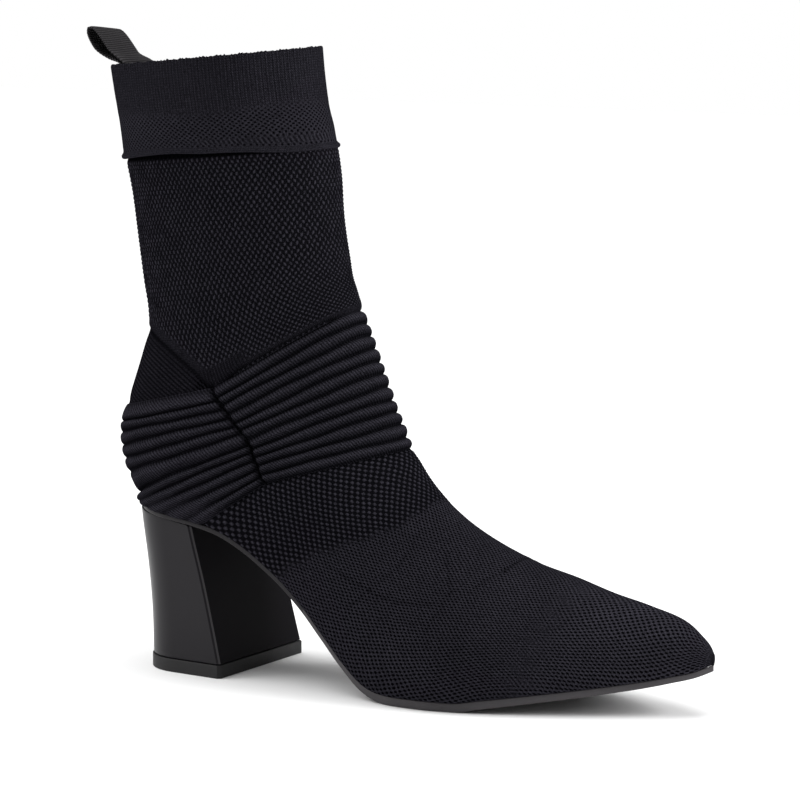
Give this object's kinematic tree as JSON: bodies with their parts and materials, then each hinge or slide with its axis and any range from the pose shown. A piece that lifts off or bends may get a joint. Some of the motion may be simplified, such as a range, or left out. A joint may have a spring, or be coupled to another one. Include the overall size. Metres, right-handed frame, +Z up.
{
  "type": "sock boot",
  "caption": "Pull-on knitted sock boot with a pointed toe, a fan of raised ribs, a ribbed collar cuff, a pull loop and a block heel.",
  "frame": {"origin": "middle of the underside of the top lift, on the floor", "axes": "+X along the boot to the toe, +Y to the inner side of the foot (left), +Z up"},
  "size_m": [0.2628, 0.084, 0.2455],
  "materials": {
    "knit": "black stretch knit, matte, in several stitches",
    "sole_rubber": "black rubber, satin",
    "lining": "black lining cloth, matte",
    "heel_lacquer": "black lacquered heel, satin gloss",
    "lift_rubber": "black heel rubber, matte",
    "loop_tape": "black ribbed tape, faint sheen"
  },
  "bodies": {
    "root": {"upper": "knit", "outsole": "sole_rubber", "insole": "lining", "heel_block": "heel_lacquer", "top_lift": "lift_rubber", "pull_loop": "loop_tape"}
  },
  "joints": []
}
